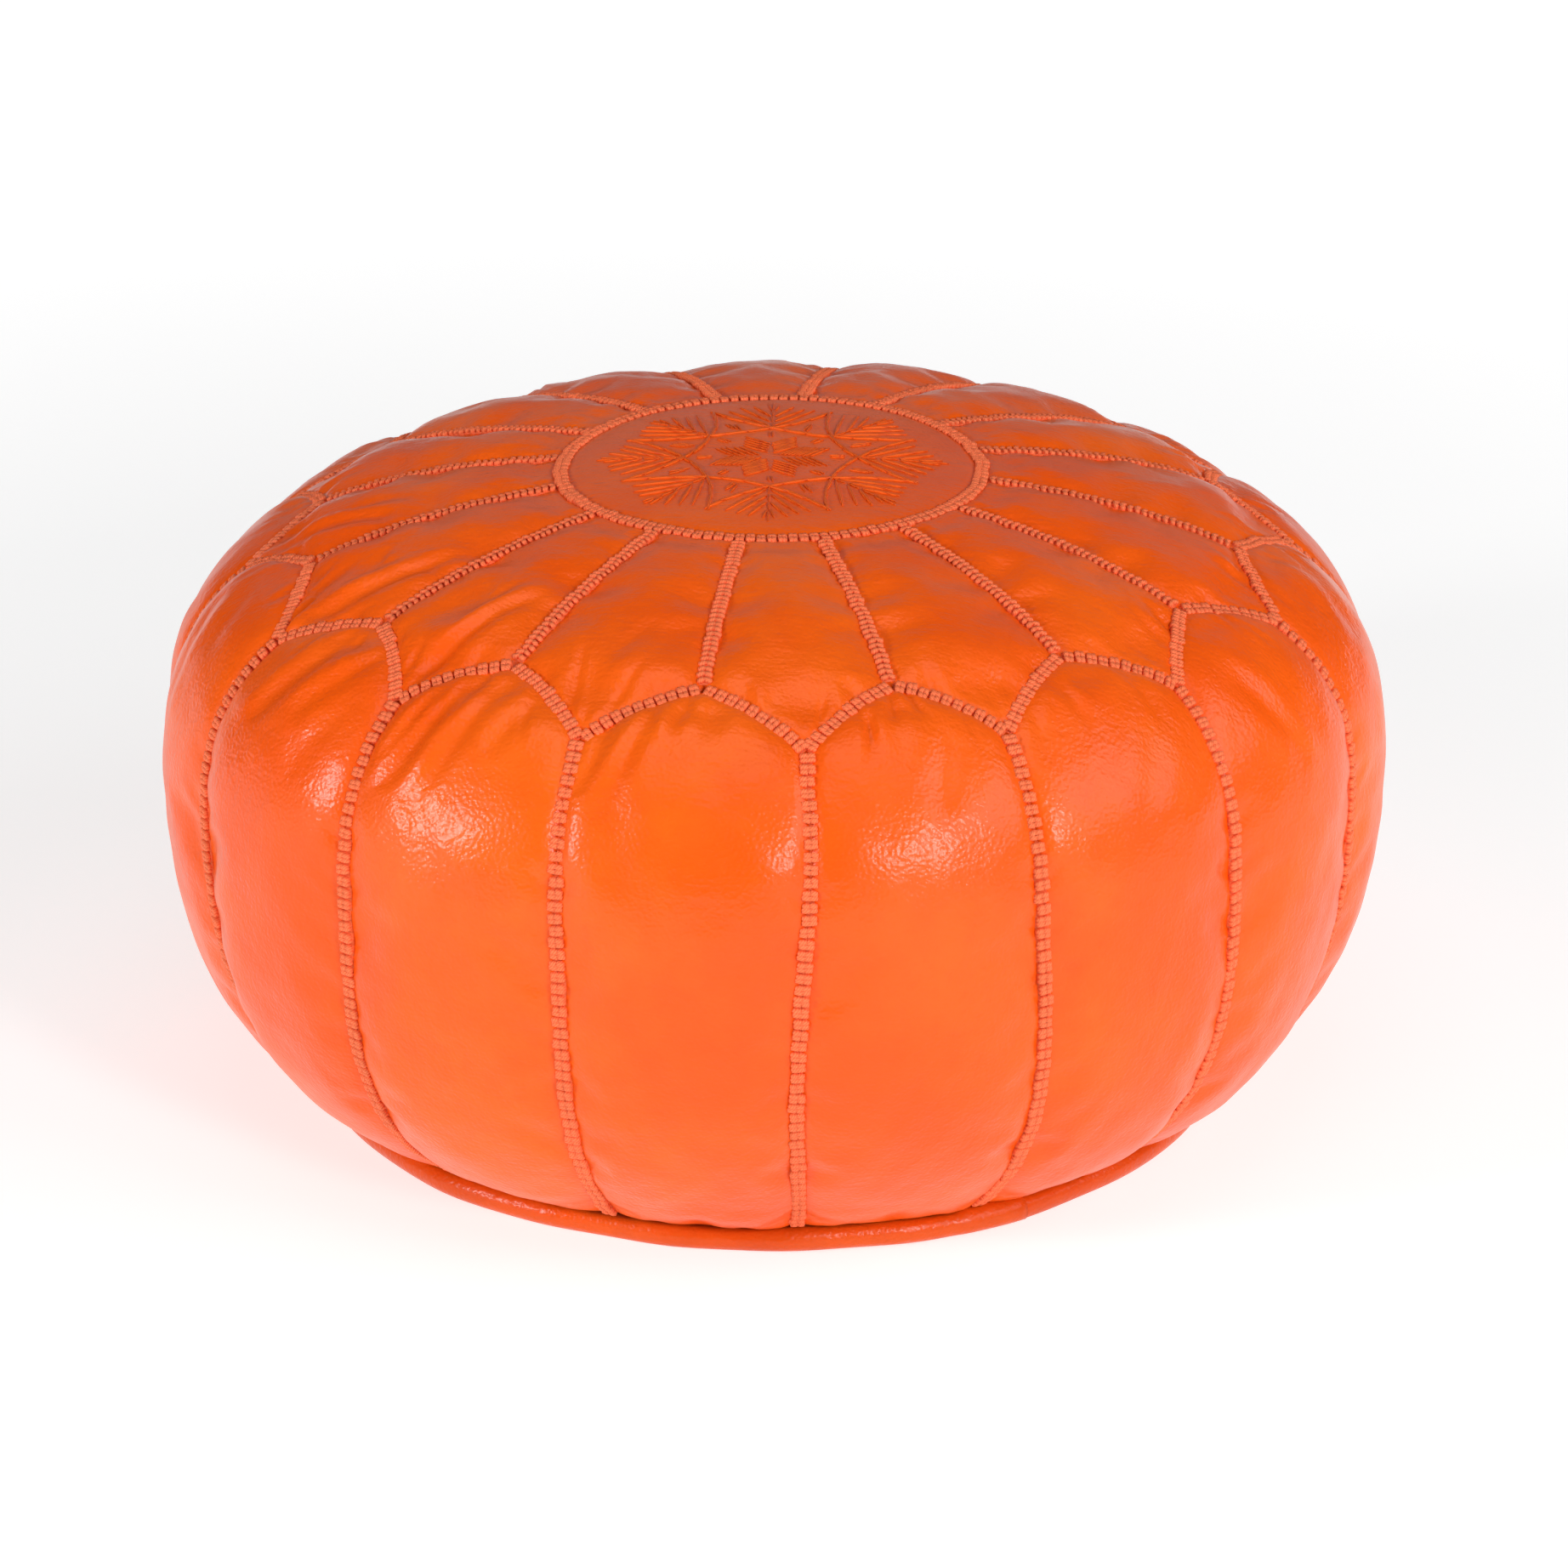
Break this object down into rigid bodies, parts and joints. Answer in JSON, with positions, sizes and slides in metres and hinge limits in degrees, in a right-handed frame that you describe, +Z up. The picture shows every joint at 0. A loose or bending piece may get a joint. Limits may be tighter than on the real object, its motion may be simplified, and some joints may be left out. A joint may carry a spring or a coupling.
{
  "type": "leather pouf",
  "caption": "Round stuffed leather pouf with arched side panels, petal top, braided seams, an embroidered medallion, a piped foot and a zip in the base",
  "frame": {"origin": "middle of the foot, on the floor plane", "axes": "+Z up through the middle of the medallion; -Y is the front, where a petal seam points; the zip runs along X"},
  "size_m": [0.52, 0.52, 0.2803],
  "materials": {
    "orange_leather": "satin",
    "base_leather": "satin",
    "braid_thread": "satin",
    "embroidery_thread": "satin",
    "cotton_cord": "matte",
    "wadding": "matte",
    "zip_tape": "matte",
    "zip_metal": "polished"
  },
  "bodies": {
    "pouf": {"arch_seam_braids": "braid_thread", "base_panel_back": "base_leather", "base_panel_front": "base_leather", "filling": "wadding", "medallion": "orange_leather", "medallion_braid": "braid_thread", "medallion_embroidery": "embroidery_thread", "petal_seam_braids": "braid_thread", "piping_cord": "cotton_cord", "piping_cover": "base_leather", "side_panel_01": "orange_leather", "side_panel_02": "orange_leather", "side_panel_03": "orange_leather", "side_panel_04": "orange_leather", "side_panel_05": "orange_leather", "side_panel_06": "orange_leather", "side_panel_07": "orange_leather", "side_panel_08": "orange_leather", "side_panel_09": "orange_leather", "side_panel_10": "orange_leather", "side_panel_11": "orange_leather", "side_panel_12": "orange_leather", "side_panel_13": "orange_leather", "side_panel_14": "orange_leather", "side_panel_15": "orange_leather", "side_panel_16": "orange_leather", "side_seam_braids": "braid_thread", "top_petal_01": "orange_leather", "top_petal_02": "orange_leather", "top_petal_03": "orange_leather", "top_petal_04": "orange_leather", "top_petal_05": "orange_leather", "top_petal_06": "orange_leather", "top_petal_07": "orange_leather", "top_petal_08": "orange_leather", "top_petal_09": "orange_leather", "top_petal_10": "orange_leather", "top_petal_11": "orange_leather", "top_petal_12": "orange_leather", "top_petal_13": "orange_leather", "top_petal_14": "orange_leather", "top_petal_15": "orange_leather", "top_petal_16": "orange_leather", "zip_bottom_stop": "zip_metal", "zip_tape_back": "zip_tape", "zip_tape_front": "zip_tape", "zip_teeth_back": "zip_metal", "zip_teeth_front": "zip_metal", "zip_top_stops": "zip_metal"},
    "zip_slider_body": {"zip_slider": "zip_metal", "zip_pull_pin": "zip_metal"},
    "zip_pull_body": {"zip_pull": "zip_metal"}
  },
  "joints": [
    {"name": "zip_slide", "type": "slide", "parent": "pouf", "child": "zip_slider_body", "axis": [-1, 0, 0], "range_m": [0, 0.262], "deforming": ["zip_teeth_front", "zip_teeth_back"]},
    {"name": "zip_pull_flip", "type": "hinge", "parent": "zip_slider_body", "child": "zip_pull_body", "pos_m": [0.132, 0, 0.004], "axis": [0, 1, 0], "range_deg": [0, 180]}
  ]
}
